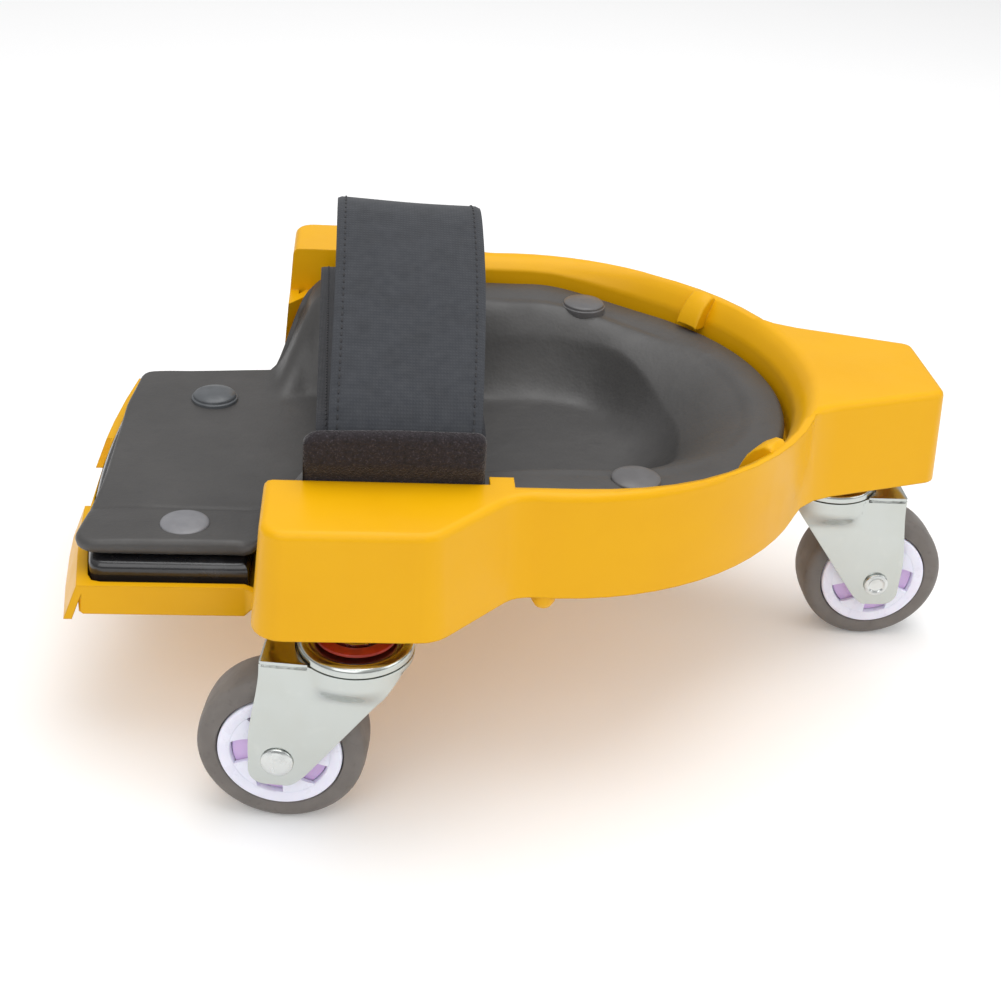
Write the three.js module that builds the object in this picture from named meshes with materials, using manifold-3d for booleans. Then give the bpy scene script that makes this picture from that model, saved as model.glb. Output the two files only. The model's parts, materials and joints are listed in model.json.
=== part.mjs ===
// Rolling knee creeper: a moulded shell that carries a knee cup and a shin rest, a padded liner,
// a doubled cinch strap and three trailing swivel casters.
// Millimetres, +Z up, +X towards the nose. The origin is on the floor under the middle.
import * as THREE from 'three';
import { mergeVertices } from 'three/addons/utils/BufferGeometryUtils.js';
import Module from 'manifold-3d';

const wasm = await Module();
wasm.setup();
const { lerp, smoothstep, degToRad } = THREE.MathUtils;

// ---------------------------------------------------------------- driving dimensions
const LENGTH = 303;                 // tongue edge to the front of the nose wheel
const WHEEL_R = 25;
const TRAIL = 20.5;                 // swivel axis to wheel centre
const GAP = 0.3;                    // air left between pieces that touch on the real object

const FRAME_TOP = 104.5;
const FRAME_BOTTOM = 72;
const WALL = 3;
const DRAFT = 2.4;                  // how far the walls lean out from top to bottom
const EDGE_R = 2.4;                 // rounding of the frame's top edge

const TONGUE_REAR = -LENGTH / 2;
const NOSE_SWIVEL_X = LENGTH / 2 - WHEEL_R - TRAIL;
const REAR_SWIVEL_X = -58;
const REAR_SWIVEL_Y = 104;

// Side boxes, rim and nose in plan.
const BOX_REAR = -84.5;
const BOX_FRONT = -37.5;
const BOX_OUTER = 118.6;
const CHANNEL_HALF = 89.5;
const RIM = { a: 90, b: 95.2 };
const NOSE_END = 133.7;
const NOSE_END_HALF = 19.8;
const NOSE_ROOT = { x: 83.3, y: 35.4 };

// Knee cup and shin rest.
const CUP_X = 3.5;                  // middle of the knee cup
const CUP = { a: 82, b: 85, tongue: 69.5 };     // inside of the rim and of the tray's lip
const PAD = { a: 80, b: 82.8, tongue: 65.5 };   // edge of the pad
const DISH_WIDTH = 7.5;             // the rim's top falls away towards the cup
const DISH_DEPTH = 4.6;
const NECK_REAR = -92;
const NECK_FRONT = -76;
const TRAY_FLOOR = 50;
const TRAY_LIP = 57;
const LIP_WALL = 2.5;
const LEDGE = 88;                   // step in the shell that carries the pad's flange
const PAD_FLOOR = 66;
const PAD_FLANGE = 96.2;
const FRONT_DROP = 4.7;             // the pad's flange lies lower at the front of the cup
const UNDERLAY_TOP = 60.5;
const PAD_GAP = 3;                  // looseness of the pad in its seat
const REAR_BOW = 5.5;               // how far the tongue's rear edge bows out
const BAY_FRONT = -21.5;            // front end of the strap slots

// Caster heights above the floor.
const FORK_TOP = 60;
const CUP_FLOOR = 58;               // floor of the lower ball track
const SHOULDER_R = 16.9;
const SHOULDER_TOP = 60.6;
const LEG_OUTER = 12.6;
const SHEET = 2;                    // thickness of the stamped fork
const COLLAR_TOP = 64.9;
const STEM_TOP = 90;
const STEM_R = 4.9;
const RIVET_R = 2.9;

// ---------------------------------------------------------------- mesh helpers
// Merges shared corners, drops triangles without area and turns the faces outwards.
function clean(geometry) {
  const bare = geometry.clone();
  bare.deleteAttribute('normal');
  bare.deleteAttribute('uv');
  const merged = mergeVertices(bare, 1e-3);
  const index = merged.index.array;
  const kept = [];
  let volume = 0;
  const [a, b, c] = [new THREE.Vector3(), new THREE.Vector3(), new THREE.Vector3()];
  for (let i = 0; i < index.length; i += 3) {
    const [p, q, r] = [index[i], index[i + 1], index[i + 2]];
    if (p === q || q === r || r === p) continue;
    kept.push(p, q, r);
    a.fromBufferAttribute(merged.attributes.position, p);
    b.fromBufferAttribute(merged.attributes.position, q);
    c.fromBufferAttribute(merged.attributes.position, r);
    volume += a.dot(b.cross(c));
  }
  if (volume < 0) kept.reverse();
  merged.setIndex(kept);
  return merged;
}

function solid(geometry) {
  const mesh = clean(geometry);
  return new wasm.Manifold(new wasm.Mesh({
    numProp: 3,
    vertProperties: Float32Array.from(mesh.attributes.position.array),
    triVerts: Uint32Array.from(mesh.index.array),
  }));
}

function geometryOf(manifold) {
  const mesh = manifold.getMesh();
  const geometry = new THREE.BufferGeometry();
  geometry.setAttribute('position', new THREE.BufferAttribute(Float32Array.from(mesh.vertProperties), 3));
  geometry.setIndex(Array.from(mesh.triVerts));
  return geometry;
}

const union = (...parts) => parts.reduce((sum, part) => sum.add(part));
const cut = (body, ...tools) => tools.reduce((rest, tool) => rest.subtract(tool), body);

function box(x0, x1, y0, y1, z0, z1) {
  const geometry = new THREE.BoxGeometry(x1 - x0, y1 - y0, z1 - z0);
  return geometry.translate((x0 + x1) / 2, (y0 + y1) / 2, (z0 + z1) / 2);
}

function fromTriangles(vertices, triangles) {
  const geometry = new THREE.BufferGeometry();
  const coordinates = vertices.flatMap((v) => [v.x, v.y, v.z]);
  geometry.setAttribute('position', new THREE.Float32BufferAttribute(coordinates, 3));
  geometry.setIndex(triangles);
  return geometry;
}

// A closed solid between two grids of the same size that share their outline in order.
function slab(upper, lower) {
  const [rows, columns] = [upper.length, upper[0].length];
  const at = (i, j) => i * columns + j;
  const under = rows * columns;
  const triangles = [];
  const quad = (a, b, c, d) => triangles.push(a, b, c, a, c, d);
  for (let i = 0; i + 1 < rows; i += 1) {
    for (let j = 0; j + 1 < columns; j += 1) {
      quad(at(i, j), at(i + 1, j), at(i + 1, j + 1), at(i, j + 1));
      quad(under + at(i, j + 1), under + at(i + 1, j + 1), under + at(i + 1, j), under + at(i, j));
    }
  }
  const wall = (p, q) => quad(q, p, under + p, under + q);
  for (let i = 0; i + 1 < rows; i += 1) {
    wall(at(i, 0), at(i + 1, 0));
    wall(at(i + 1, columns - 1), at(i, columns - 1));
  }
  for (let j = 0; j + 1 < columns; j += 1) {
    wall(at(0, j + 1), at(0, j));
    wall(at(rows - 1, j), at(rows - 1, j + 1));
  }
  return fromTriangles([...upper.flat(), ...lower.flat()], triangles);
}

// A closed solid through level rings that run anticlockwise seen from above.
function loft(rings) {
  const count = rings[0].points.length;
  const vertices = rings.flatMap(({ z, points }) => points.map((p) => new THREE.Vector3(p.x, p.y, z)));
  const triangles = [];
  for (let k = 0; k + 1 < rings.length; k += 1) {
    for (let j = 0; j < count; j += 1) {
      const [p, q] = [k * count + j, k * count + ((j + 1) % count)];
      triangles.push(p, q, q + count, p, q + count, p + count);
    }
  }
  const top = (rings.length - 1) * count;
  for (const [a, b, c] of THREE.ShapeUtils.triangulateShape(rings[0].points, [])) {
    const [p, q, r] = [vertices[a], vertices[b], vertices[c]];
    const anticlockwise = (q.x - p.x) * (r.y - p.y) > (q.y - p.y) * (r.x - p.x);
    const [m, n] = anticlockwise ? [b, c] : [c, b];
    triangles.push(a, n, m, top + a, top + m, top + n);
  }
  return fromTriangles(vertices, triangles);
}

// A solid of revolution about Z; the profile holds [radius, height] pairs.
function turned(profile, segments = 24) {
  const points = profile.map(([r, z]) => new THREE.Vector2(r, z));
  return new THREE.LatheGeometry(points, segments).rotateX(Math.PI / 2);
}

// A ring of revolution about Z, whose profile closes on itself.
const ring = (profile, segments) => turned([...profile, profile[0]], segments);

function tube(inner, outer, z0, z1, segments) {
  return ring([[inner, z0], [outer, z0], [outer, z1], [inner, z1]], segments);
}

function rod(radius, z0, z1, segments) {
  return turned([[0, z0], [radius, z0], [radius, z1], [0, z1]], segments);
}

function extruded(shape, depth, curveSegments) {
  return new THREE.ExtrudeGeometry(shape, { depth, bevelEnabled: false, curveSegments });
}

function piece(name, geometry, { color, roughness, metalness }) {
  const material = new THREE.MeshStandardMaterial({ color, roughness, metalness });
  const mesh = new THREE.Mesh(clean(geometry), material);
  mesh.geometry.computeVertexNormals();
  mesh.name = name;
  return mesh;
}

// ---------------------------------------------------------------- materials
const YELLOW = { color: 0xf9bd22, roughness: 0.42, metalness: 0 };
const PAD_GREY = { color: 0x5a5a5c, roughness: 0.6, metalness: 0 };
const UNDERLAY_BLACK = { color: 0x1c1c1f, roughness: 0.3, metalness: 0 };
const BUTTON_GREY = { color: 0x808288, roughness: 0.4, metalness: 0 };
const STRAP_BLUE = { color: 0x45484f, roughness: 0.9, metalness: 0 };
const FUZZ = { color: 0x352e34, roughness: 1, metalness: 0 };
const ZINC = { color: 0xc4c8c4, roughness: 0.3, metalness: 1 };
const BRASS = { color: 0xb59a55, roughness: 0.35, metalness: 1 };
const STEEL = { color: 0xb8bcbf, roughness: 0.25, metalness: 1 };
const RED = { color: 0xb03020, roughness: 0.5, metalness: 0 };
const WHITE = { color: 0xf2f0fa, roughness: 0.35, metalness: 0 };
const LAVENDER = { color: 0xcfa8dc, roughness: 0.4, metalness: 0 };
const TYRE_GREY = { color: 0x76706a, roughness: 0.7, metalness: 0 };

// ---------------------------------------------------------------- frame outline
const mirrored = (points) => points.map((p) => ({ ...p, y: -p.y })).reverse();

// Replaces each corner that has a radius by an arc that touches both of its sides.
function rounded(corners) {
  return corners.flatMap((corner, i) => {
    if (!corner.r) return [new THREE.Vector2(corner.x, corner.y)];
    const here = new THREE.Vector2(corner.x, corner.y);
    const before = corners[(i + corners.length - 1) % corners.length];
    const after = corners[(i + 1) % corners.length];
    const toBefore = new THREE.Vector2(before.x, before.y).sub(here).normalize();
    const toAfter = new THREE.Vector2(after.x, after.y).sub(here).normalize();
    const half = Math.acos(toBefore.dot(toAfter)) / 2;
    const middle = toBefore.clone().add(toAfter).setLength(corner.r / Math.sin(half)).add(here);
    const start = here.clone().addScaledVector(toBefore, corner.r / Math.tan(half)).sub(middle);
    const turn = (Math.PI - 2 * half) * Math.sign(toAfter.cross(toBefore));
    const steps = Math.max(3, Math.round(Math.abs(turn) / degToRad(15)));
    return Array.from({ length: steps + 1 }, (_, k) => (
      start.clone().rotateAround(new THREE.Vector2(), (turn * k) / steps).add(middle)));
  });
}

function frameOutline() {
  const rim = Array.from({ length: 15 }, (_, k) => {
    const angle = degToRad(lerp(95, 30, k / 14));
    return { x: RIM.a * Math.cos(angle), y: -RIM.b * Math.sin(angle) };
  });
  const right = [
    { x: BOX_REAR, y: -CHANNEL_HALF + WALL },
    { x: BOX_REAR, y: -BOX_OUTER, r: 7 },
    { x: BOX_FRONT, y: -BOX_OUTER, r: 9 },
    { x: -14.5, y: -95.2, r: 12 },
    ...rim,
    { x: NOSE_ROOT.x, y: -NOSE_ROOT.y, r: 28 },
    { x: NOSE_END, y: -NOSE_END_HALF, r: 4.5 },
  ];
  return rounded([...right, ...mirrored(right)]);
}

// Moves every point of an anticlockwise outline outwards by d.
function offset(points, d) {
  return points.map((p, i) => {
    const before = points[(i + points.length - 1) % points.length];
    const after = points[(i + 1) % points.length];
    const normal = (from, to) => new THREE.Vector2(to.y - from.y, from.x - to.x).normalize();
    const sum = normal(before, p).add(normal(p, after));
    return p.clone().addScaledVector(sum, (2 * d) / sum.lengthSq());
  });
}

// ---------------------------------------------------------------- knee cup and shin rest
// Half width of a spoon shape: an ellipse in front of the cup's middle, a tongue behind the neck.
const spoonHalf = ({ a, b, tongue }) => (x) => (x > CUP_X
  ? b * Math.sqrt(Math.max(0, 1 - ((x - CUP_X) / a) ** 2))
  : lerp(tongue, b, smoothstep(x, NECK_REAR, NECK_FRONT)));

const grown = ({ a, b, tongue }, d) => ({ a: a + d, b: b + d, tongue: tongue + d });

// 0 along the middle line, 1 at the edge of the spoon shape.
function outwardness(plan, x, y) {
  return x > CUP_X ? Math.hypot((x - CUP_X) / plan.a, y / plan.b) : Math.abs(y) / spoonHalf(plan)(x);
}

// How far the edge of the cup has sunk at X.
const frontDrop = (x) => FRONT_DROP * smoothstep(x, 5, 50);

// Upper face of the shell under the pad.
function seatHeight(x, y) {
  const ledge = lerp(TRAY_FLOOR, LEDGE - frontDrop(x), smoothstep(x, NECK_REAR, NECK_FRONT));
  return lerp(TRAY_FLOOR, ledge, smoothstep(outwardness(PAD, x, y), 0.6, 0.86));
}

function padTop(x, y) {
  const flange = lerp(PAD_FLOOR, PAD_FLANGE - frontDrop(x), smoothstep(x, -91, -74));
  const outwards = outwardness(PAD, x, y);
  return lerp(PAD_FLOOR, flange, smoothstep(outwards, 0.52, 0.8)) + smoothstep(outwards, 0.8, 1);
}

function padBottom(x, y) {
  const floor = x <= NECK_REAR ? UNDERLAY_TOP : TRAY_FLOOR;
  return Math.max(floor + GAP, seatHeight(x, y) + PAD_GAP);
}

const COLUMNS = [-1, -0.88, -0.8, -0.72, -0.64, -0.55, -0.3, 0, 0.3, 0.55, 0.64, 0.72, 0.8, 0.88, 1];

// Stations along X from a rear edge to the round front end of a spoon shape.
function stations(rear, front) {
  const fan = Array.from({ length: 15 }, (_, k) => CUP_X + (front - CUP_X) * Math.sin((k * Math.PI) / 28));
  const neck = [-140, -115, -96, NECK_REAR, -88, -84, -80, NECK_FRONT, -50, -20].filter((x) => x > rear + 5);
  return [rear, rear + 1.5, rear + 4.5, ...neck, ...fan];
}

// A grid over a spoon shape, whose rear edge bows out between rounded corners.
function spoonGrid(xs, half, height, cornerR, columns = COLUMNS) {
  const rear = xs[0];
  return xs.map((x) => {
    const inside = Math.min(cornerR, x - rear);
    const corner = cornerR - Math.sqrt(cornerR ** 2 - (cornerR - inside) ** 2);
    const bow = REAR_BOW * (1 - smoothstep(x, rear, rear + 35));
    return columns.map((v) => {
      const y = v * (half(x) - corner);
      return new THREE.Vector3(x + bow * v * v, y, height(x, y));
    });
  });
}

function spoon(rear, plan, top, bottom, cornerR) {
  const xs = stations(rear, CUP_X + plan.a);
  const half = spoonHalf(plan);
  return slab(spoonGrid(xs, half, top, cornerR), spoonGrid(xs, half, bottom, cornerR));
}

// ---------------------------------------------------------------- shell
const swivels = [
  { name: 'right_rear', x: REAR_SWIVEL_X, y: -REAR_SWIVEL_Y, yaw: -7.2 },
  { name: 'left_rear', x: REAR_SWIVEL_X, y: REAR_SWIVEL_Y, yaw: 6 },
  { name: 'front', x: NOSE_SWIVEL_X, y: 0, yaw: 179.2 },
];

const TRAY_REAR = TONGUE_REAR + 4.5;
const TRAY_FOOT = 45;               // lower edge of the rear lip
const DISH_REAR = -14.5;
const LUG_BOTTOM = 66;
const BELOW = 30;                   // heights that cutting tools reach past the object
const ABOVE = 130;
const SLOT_INNER = 82.4;            // inner face of the strap slots
const BOSS_R = 9.5;
const BOSS_NOSE_R = 6.8;
const BOSS_BOTTOM = COLLAR_TOP + GAP;
const INSERT_R = 6.4;

function boss({ x, y }) {
  return turned([[0, BOSS_BOTTOM], [BOSS_NOSE_R, BOSS_BOTTOM], [BOSS_NOSE_R, FRAME_BOTTOM],
    [BOSS_R, FRAME_BOTTOM], [BOSS_R, FRAME_TOP - 1], [0, FRAME_TOP - 1]]).translate(x, y, 0);
}

function stemBore({ x, y }) {
  const step = FRAME_BOTTOM + 1;
  return turned([[0, BOSS_BOTTOM - 1], [STEM_R + GAP, BOSS_BOTTOM - 1], [STEM_R + GAP, step],
    [INSERT_R + GAP, step], [INSERT_R + GAP, STEM_TOP + 1], [0, STEM_TOP + 1]]).translate(x, y, 0);
}

// Stiffening ribs: a cross at each boss, and spokes between the cup and the skirt.
function ribs() {
  const [z0, z1, half] = [FRAME_BOTTOM + 8, FRAME_TOP - 1, 1];
  const crosses = swivels.flatMap(({ x, y }) => [
    box(x - 24, x + 24, y - half, y + half, z0, z1),
    box(x - half, x + half, y - 13, y + 13, z0, z1),
  ]);
  const spokes = [-75, -50, -25, 25, 50, 75].map((degrees) => (
    box(62, 88.5, -half, half, z0, z1).rotateZ(degToRad(degrees))));
  return [...crosses, ...spokes].map(solid);
}

// A tab that reaches from the rim over the edge of the pad; built along +X, then turned.
function rimHook(degrees) {
  const [width, round] = [9, 1.4];
  const angle = degToRad(degrees);
  const x = CUP_X + CUP.a * Math.cos(angle);
  const reach = FRAME_TOP - PAD_FLANGE + frontDrop(x) - 2.4;
  const upper = [[5.6, -0.12], [4, 0.04], [2, 0.03], [-1, -0.18], [-3.6, -0.5], [-5, -0.8], [-5.4, -0.94]];
  const lower = [[5.6, -0.5], [4, -0.6], [2, -0.95], [-0.4, -1.04], [-2.4, -1.06], [-4, -1.04], [-5, -1]];
  const across = [-1, -0.92, -0.7, 0, 0.7, 0.92, 1];
  const grid = (path, drop) => path.map(([along, share]) => across.map((v) => (
    new THREE.Vector3(along, (v * width) / 2, FRAME_TOP + share * reach - drop * v ** 6))));
  const hook = slab(grid(upper, round), grid(lower, 0));
  return hook.rotateZ(angle).translate(x, CUP.b * Math.sin(angle), 0);
}

// Cuts the rim's top so that it curves down towards the cup, in front of the strap slots.
function rimDish() {
  const outwards = [-1.5, 0, 1, 2.5, 4.5, DISH_WIDTH];
  const front = Array.from({ length: 29 }, (_, k) => {
    const angle = degToRad(lerp(-90, 90, k / 28));
    return { x: CUP_X, across: Math.sin(angle), ahead: Math.cos(angle) };
  });
  const path = [{ x: DISH_REAR, across: -1, ahead: 0 }, ...front, { x: DISH_REAR, across: 1, ahead: 0 }];
  const surface = (x, share) => (
    FRAME_TOP + GAP / 10 - (DISH_DEPTH + 1.1 * frontDrop(x)) * (1 - Math.max(0, share)) ** 2);
  const grid = (height) => path.map((p) => outwards.map((d) => {
    const x = p.x + p.ahead * (CUP.a + d);
    return new THREE.Vector3(x, p.across * (CUP.b + d), height(x, d / DISH_WIDTH));
  }));
  return slab(grid(() => ABOVE), grid(surface));
}

// Rear lip of the tray: it leans out towards its bottom edge and follows the bowed tongue.
function rearLip() {
  const half = CUP.tongue + LIP_WALL;
  const across = Array.from({ length: 9 }, (_, k) => lerp(-half, half, k / 8));
  const row = (x, z) => across.map((y) => new THREE.Vector3(x + REAR_BOW * (y / half) ** 2, y, z));
  const [top, foot] = [TRAY_REAR, TONGUE_REAR];
  const outer = [row(top, TRAY_LIP), row(foot, TRAY_FOOT)];
  const inner = [row(top + LIP_WALL, TRAY_LIP), row(foot + LIP_WALL, TRAY_FOOT)];
  return slab(outer, inner);
}

function shell() {
  const outline = frameOutline();
  const level = (z, grow) => ({ z, points: offset(outline, grow) });
  const fillet = [0, 30, 60, 90].map((degrees) => {
    const angle = degToRad(degrees);
    return level(FRAME_TOP - EDGE_R * (1 - Math.sin(angle)), -EDGE_R * (1 - Math.cos(angle)));
  });
  const block = loft([level(FRAME_BOTTOM, DRAFT), ...fillet]);
  const hollow = loft([level(FRAME_BOTTOM - 20, DRAFT - WALL), level(FRAME_TOP - WALL, -WALL)]);

  const outer = { ...grown(CUP, DISH_WIDTH), tongue: CUP.tongue + LIP_WALL };
  const wallTop = (x) => lerp(TRAY_LIP, FRAME_TOP - 1, smoothstep(x, -88, -82));
  const under = (x, y) => seatHeight(x, y) - WALL;
  const bowl = spoon(TRAY_REAR, outer, wallTop, under, 1.5);
  const bowlSpace = spoon(TRAY_REAR, outer, () => ABOVE, under, 1.5);
  const cavity = spoon(TRAY_REAR + LIP_WALL, CUP, () => ABOVE, seatHeight, 4);
  const hollowed = cut(solid(hollow), solid(bowlSpace));

  const bay = box(BOX_REAR - 6, BAY_FRONT, -CHANNEL_HALF, CHANNEL_HALF, LEDGE, ABOVE);
  const slots = [-1, 1].map((side) => {
    const [y0, y1] = [side * SLOT_INNER, side * CHANNEL_HALF];
    return solid(box(NECK_FRONT, BAY_FRONT, Math.min(y0, y1), Math.max(y0, y1), BELOW, ABOVE));
  });
  const bayWalls = [-1, 1].map((side) => {
    const y = side * (CHANNEL_HALF + WALL / 2);
    const [y0, y1] = [y - WALL / 2, y + WALL / 2];
    return solid(box(BOX_REAR + 1, BAY_FRONT + 2, y0, y1, FRAME_BOTTOM + 6, FRAME_TOP - 1));
  });
  const notch = box(TONGUE_REAR - 1, TRAY_REAR + LIP_WALL, -24.5, 23, BELOW, ABOVE);
  const lugProfile = [[0, LUG_BOTTOM], [2.4, LUG_BOTTOM + 0.6], [3.6, LUG_BOTTOM + 2.6], [3.6, 80], [0, 80]];
  const lugs = [-1, 1].map((side) => solid(turned(lugProfile, 16).translate(-4, side * (RIM.b - 3), 0)));

  const frame = cut(union(solid(block), solid(bowl), solid(rearLip())), hollowed);
  const braced = union(frame, ...swivels.map((s) => solid(boss(s))), ...ribs(), ...bayWalls, ...lugs);
  const bores = swivels.map((s) => solid(stemBore(s)));
  const opened = cut(braced, solid(rimDish()), solid(cavity), solid(bay), ...slots, solid(notch), ...bores,
    ...shankHoles());
  return piece('shell', geometryOf(union(opened, solid(rimHook(42)), solid(rimHook(-42)))), YELLOW);
}

// ---------------------------------------------------------------- pad, underlay and buttons
const BUTTON_R = 7.5;
const BUTTON_SHANK = 2.6;
const BUTTONS = [
  { name: 'right_tongue', x: -111, y: -53.5, lift: 0 },
  { name: 'left_tongue', x: -110, y: 38, lift: 1 },
  { name: 'right_cup', x: 23.8, y: -69, lift: 0 },
  { name: 'left_cup', x: 23.8, y: 66, lift: 0 },
];

function shankHoles() {
  return BUTTONS.map(({ x, y }) => solid(rod(BUTTON_SHANK + 0.4, BELOW, ABOVE, 12).translate(x, y, 0)));
}

const drilled = (geometry) => geometryOf(cut(solid(geometry), ...shankHoles()));

function kneePad() {
  return piece('knee_pad', drilled(spoon(TONGUE_REAR + 6, PAD, padTop, padBottom, 7)), PAD_GREY);
}

function shinUnderlay() {
  const rear = TRAY_REAR + LIP_WALL + 0.7;
  const xs = [rear, rear + 1.5, rear + 4.5, rear + 9, rear + 30, NECK_REAR - 2];
  const half = () => PAD.tongue + 2;
  const grid = (z) => spoonGrid(xs, half, () => z, 7);
  const body = slab(grid(UNDERLAY_TOP), grid(TRAY_FLOOR + GAP));
  return piece('shin_underlay', drilled(body), UNDERLAY_BLACK);
}

function padButton({ name, x, y, lift }) {
  const under = Math.max(padTop(x, y), padTop(x - BUTTON_R, y)) + 2 * GAP + lift;
  const foot = seatHeight(x, y) - WALL - 4;
  const profile = [[0, foot], [BUTTON_SHANK, foot], [BUTTON_SHANK, under], [BUTTON_R, under],
    [BUTTON_R, under + 0.9], [BUTTON_R - 1.5, under + 1.7], [BUTTON_R / 2, under + 2.2], [0, under + 2.4]];
  return piece(`pad_button_${name}`, turned(profile, 16).translate(x, y, 0), BUTTON_GREY);
}

// ---------------------------------------------------------------- straps
const STRAP_FOOT = 79;              // lower end of every strap, below the slots

// A flat strap that follows a curve in the YZ plane. It runs from x0 with the given width;
// skew shifts it along X as it crosses to the left side.
function strap(name, path, thickness, x0, width, skew, look) {
  const curve = new THREE.SplineCurve(path.map(([y, z]) => new THREE.Vector2(y, z)));
  const count = 36;
  const middle = Array.from({ length: count + 1 }, (_, k) => curve.getPoint(k / count));
  const side = (d) => middle.map((p, k) => {
    const along = curve.getTangent(k / count);
    return new THREE.Vector2(p.x - along.y * d, p.y + along.x * d);
  });
  const shape = new THREE.Shape([...side(thickness / 2), ...side(-thickness / 2).reverse()]);
  const geometry = extruded(shape, width, 1);
  geometry.applyMatrix4(new THREE.Matrix4().set(0, 0, 1, x0, 1, 0, 0, 0, 0, 1, 0, 0, 0, 0, 0, 1));
  geometry.applyMatrix4(new THREE.Matrix4().makeShear(0, 0, skew, 0, 0, 0));
  return piece(name, geometry, look);
}

function straps() {
  const band = [[-85.4, STRAP_FOOT], [-85.4, 100], [-84.6, 112], [-76, 121.5], [-55, 132.5],
    [-30, 143.6], [-12, 150.2], [-3, 152.4], [6, 152], [18, 147.4], [40, 136], [62, 123.6], [78, 112],
    [86, 102], [87.8, 92], [87.8, STRAP_FOOT]];
  const inner = [[-83.4, STRAP_FOOT], [-83.4, 99], [-82.6, 110], [-77, 115.6], [-60, 115],
    [-20, 110.5], [20, 106.5], [60, 103.5], [78, 101.5], [84.6, 96], [85.9, 88], [85.9, STRAP_FOOT]];
  const fuzzy = [[-87.95, STRAP_FOOT], [-87.95, 98], [-87.9, 108], [-87.7, 118]];
  return [
    strap('strap_band', band, 2, -66, 43, 0, STRAP_BLUE),
    strap('strap_inner', inner, 1.2, -72.4, 48.4, -0.02, STRAP_BLUE),
    strap('strap_fuzzy_tab', fuzzy, 2.4, -73.6, 51, 0, FUZZ),
  ];
}

// ---------------------------------------------------------------- casters
// A caster is built round its swivel axis, with the wheel trailing towards -X.
const AXLE = { x: -TRAIL, z: WHEEL_R };
const HUB_HALF = 9.3;
const TYRE_HALF = WHEEL_R * 0.34;
const RIM_R = 18.4;
const WEB_HALF = 6.5;
const CORE_HALF = 2.5;
const CORE = { inner: 8.4, outer: 15.2 };
const WINDOWS = 5;
const HUB_SEGMENTS = 18;

const onAxle = (geometry) => geometry.rotateX(Math.PI / 2).translate(AXLE.x, 0, AXLE.z);

function tyre() {
  const w = TYRE_HALF;
  return onAxle(ring([[RIM_R + GAP, -w], [22.6, -w], [24.3, -w + 1.2], [24.9, -w + 3.2], [WHEEL_R, 0],
    [24.9, w - 3.2], [24.3, w - 1.2], [22.6, w], [RIM_R + GAP, w]], 26));
}

// Window in the hub's web between two spokes.
function hubWindow(k) {
  const shape = new THREE.Shape();
  const half = degToRad(19);
  shape.absarc(0, 0, 14.6, -half, half, false);
  shape.absarc(0, 0, 9.2, half, -half, true);
  const window = extruded(shape, 2 * WEB_HALF + 2, 1).translate(0, 0, -WEB_HALF - 1);
  return window.rotateZ(degToRad(46 + (360 * k) / WINDOWS));
}

function hub() {
  const [bore, nave, rim] = [4.2, 7.6, 15.6];
  const near = [[bore, -HUB_HALF], [nave, -HUB_HALF], [nave, -WEB_HALF], [rim, -WEB_HALF],
    [rim + 0.6, -HUB_HALF], [RIM_R, -HUB_HALF]];
  const far = near.map(([r, y]) => [r, -y]).reverse();
  const body = ring([...near, ...far], HUB_SEGMENTS);
  const slotHalf = CORE_HALF + GAP;
  const slot = tube(CORE.inner - GAP, CORE.outer + GAP, -slotHalf, slotHalf, HUB_SEGMENTS);
  const windows = Array.from({ length: WINDOWS }, (_, k) => solid(hubWindow(k)));
  return onAxle(geometryOf(cut(solid(body), solid(slot), ...windows)));
}

// One leg of the fork: a flat plate that swells into the round shoulder at its top.
function forkLeg(side) {
  const levels = [16.4, 18.2, 22, 44, 51, 57, SHOULDER_TOP];
  const inset = [6, 2.4, 0.6, 0, 0, 0, 0];
  const columns = 7;
  const grid = (shoulderR, plane) => levels.map((z, i) => {
    const rear = lerp(-29, -25.5, smoothstep(z, 30, FORK_TOP)) + inset[i];
    const front = Math.min(lerp(-15.4, 15.9, (z - 16.4) / 43.6), shoulderR - 0.6) - inset[i] / 3;
    const swell = smoothstep(z, 44, 58);
    return Array.from({ length: columns }, (_, j) => {
      const u = lerp(rear, front, j / (columns - 1));
      const round = Math.sqrt(Math.max(0, shoulderR ** 2 - u ** 2));
      const v = u < 0 ? Math.max(plane, round) : round;
      return new THREE.Vector3(u, side * lerp(plane, v, swell), z);
    });
  });
  return slab(grid(SHOULDER_R, LEG_OUTER), grid(SHOULDER_R - SHEET, LEG_OUTER - SHEET));
}

function fork() {
  const deck = box(-25.5, -8, -LEG_OUTER + 0.2, LEG_OUTER - 0.2, FORK_TOP - SHEET, FORK_TOP);
  const cup = rod(SHOULDER_R, CUP_FLOOR - SHEET, SHOULDER_TOP, 24);
  const track = rod(SHOULDER_R - 1.8, CUP_FLOOR, SHOULDER_TOP + 1, 24);
  const hole = rod(6.4, 40, 80, 12);
  const axleHole = onAxle(rod(RIVET_R + GAP, -20, 20, 10));
  const stamped = union(solid(deck), solid(cup), solid(forkLeg(1)), solid(forkLeg(-1)));
  return geometryOf(cut(stamped, solid(track), solid(hole), solid(axleHole)));
}

// Kingpin and threaded stem in one: the foot holds the fork up, the collar stops the boss.
function stem() {
  return turned([[0, 53], [8.4, 53], [9, 53.6], [9, 55.7], [5.6, 55.7], [5.6, 63.1], [8, 63.1],
    [8, COLLAR_TOP], [STEM_R, COLLAR_TOP], [STEM_R, STEM_TOP - 1], [STEM_R - 1, STEM_TOP],
    [0, STEM_TOP]], 12);
}

function topRace() {
  return ring([[6.2, 61.6], [14.2, 61.6], [14.6, 60.9], [16.3, 60.9], [16, 62.2], [14.4, 62.8],
    [6.2, 62.8]], 24);
}

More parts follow.
